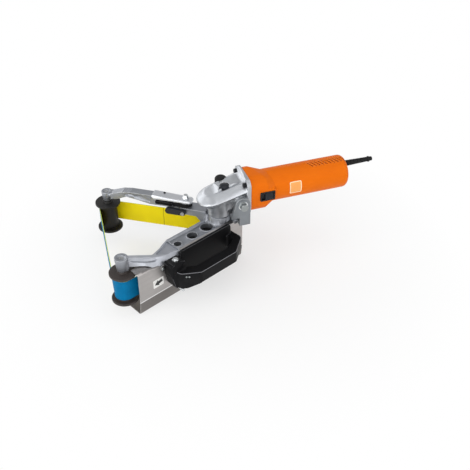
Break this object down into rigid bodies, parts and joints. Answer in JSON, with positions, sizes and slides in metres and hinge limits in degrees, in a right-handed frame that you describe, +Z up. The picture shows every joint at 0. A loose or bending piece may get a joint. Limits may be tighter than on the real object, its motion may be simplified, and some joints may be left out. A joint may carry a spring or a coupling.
{
  "type": "pipe sander",
  "caption": "Corded angle tool that drives an abrasive belt round a forked pair of flanged rollers to sand pipes, with a sheet guard, bow handle and sprung tension arm.",
  "frame": {"origin": "on the spindle's axis, in the underside of the guard's floor", "axes": "+X back along the motor to the cord sleeve, +Y to the side of the tension arm, +Z up along the spindle"},
  "size_m": [0.5208, 0.263, 0.1744],
  "materials": {
    "abrasive_belt": "resin bonded cloth, coarse",
    "die_cast": "die cast, tumbled satin",
    "sheet_steel": "brushed sheet",
    "housing_plastic": "moulded, satin gloss",
    "black_plastic": "fine moulded grain",
    "button_plastic": "smooth moulding",
    "rubber": "matt",
    "steel": "turned and ground",
    "zinc_plate": "bright zinc plate",
    "black_oxide": "black oxide, oiled",
    "spring_steel": "drawn wire",
    "lamination": "stacked sheet",
    "copper": "enamelled wire and bars",
    "brass": "pressed",
    "carbon": "pressed carbon",
    "inner_plastic": "glass filled moulding"
  },
  "bodies": {
    "frame": {"belt": "abrasive_belt", "fork": "die_cast", "guard": "sheet_steel", "guard_stud": "zinc_plate", "bow_handle": "black_plastic", "handle_screws": "black_oxide", "handle_bolt": "zinc_plate", "handle_nut": "zinc_plate", "pivot_pin": "steel", "lever_pin": "steel", "near_axle": "steel", "tension_spring": "spring_steel", "gear_head": "die_cast", "plug": "rubber", "spindle_bush": "brass", "bearing_cap": "die_cast", "flange_bolts": "black_oxide", "side_bracket": "die_cast", "side_washer": "zinc_plate", "side_bolt": "zinc_plate", "foot_screw": "black_oxide", "lock_spring": "spring_steel", "motor_housing": "housing_plastic", "bearing_shield": "die_cast", "stator": "lamination", "field_coils": "copper", "brush_carrier": "inner_plastic", "brush_holders": "brass", "carbon_brushes": "carbon", "brush_springs": "spring_steel", "switch_bezel": "black_plastic", "switch_body": "inner_plastic", "electronics_module": "inner_plastic", "cord_sleeve": "rubber"},
    "drive_spindle": {"spindle": "steel", "bevel_gear": "steel", "drive_pulley": "die_cast", "pulley_tread": "rubber", "pulley_screw": "black_oxide", "spindle_bearing": "steel"},
    "armature": {"pinion": "steel", "armature_shaft": "steel", "armature_core": "lamination", "armature_windings": "copper", "commutator": "copper", "fan": "inner_plastic", "front_bearing": "steel", "rear_bearing": "steel"},
    "near_wheel": {"near_roller": "black_plastic", "near_roller_bearings": "steel"},
    "swing_arm": {"tension_arm": "die_cast", "tension_cover": "die_cast", "spring_box": "black_plastic", "far_axle": "steel"},
    "far_wheel": {"far_roller": "black_plastic", "far_roller_bearings": "steel"},
    "lever": {"release_lever": "black_plastic"},
    "spindle_lock": {"lock_button": "button_plastic"},
    "switch": {"switch_slide": "button_plastic"}
  },
  "joints": [
    {"name": "spindle_spin", "type": "hinge", "parent": "frame", "child": "drive_spindle", "pos_m": [0, 0, 0.0565], "axis": [0, 0, 1], "continuous": true},
    {"name": "armature_spin", "type": "hinge", "parent": "frame", "child": "armature", "pos_m": [0.123, 0, 0.1394], "axis": [1, 0, 0], "continuous": true},
    {"name": "near_wheel_spin", "type": "hinge", "parent": "frame", "child": "near_wheel", "pos_m": [-0.19746, -0.08999, 0.0565], "axis": [0, 0, 1], "continuous": true},
    {"name": "far_wheel_spin", "type": "hinge", "parent": "swing_arm", "child": "far_wheel", "pos_m": [-0.18053, 0.1204, 0.0565], "axis": [0, 0, 1], "continuous": true},
    {"name": "swing_arm_turn", "type": "hinge", "parent": "frame", "child": "swing_arm", "pos_m": [-0.05158, 0.0344, 0.105], "axis": [0, 0, 1], "range_deg": [0, 8], "stiffness_Nm_per_rad": 20, "springref_deg": -17.19, "deforming": ["belt", "tension_spring"]},
    {"name": "lever_turn", "type": "hinge", "parent": "frame", "child": "lever", "pos_m": [-0.05943, 0.02425, 0.0982], "axis": [-0.5548, -0.832, 0], "range_deg": [0, 80]},
    {"name": "lock_press", "type": "slide", "parent": "frame", "child": "spindle_lock", "axis": [0, 0, -1], "range_m": [0, 0.0045], "stiffness_N_per_m": 600, "springref_m": -0.004, "deforming": ["lock_spring"]},
    {"name": "switch_slide_move", "type": "slide", "parent": "frame", "child": "switch", "axis": [-1, 0, 0], "range_m": [0, 0.005]}
  ],
  "couplings": [
    {"joint": "armature_spin", "follows": "spindle_spin", "ratio": 3},
    {"joint": "near_wheel_spin", "follows": "spindle_spin", "ratio": 1.2367},
    {"joint": "far_wheel_spin", "follows": "spindle_spin", "ratio": 1.2367},
    {"joint": "lever_turn", "follows": "swing_arm_turn", "ratio": 10}
  ]
}
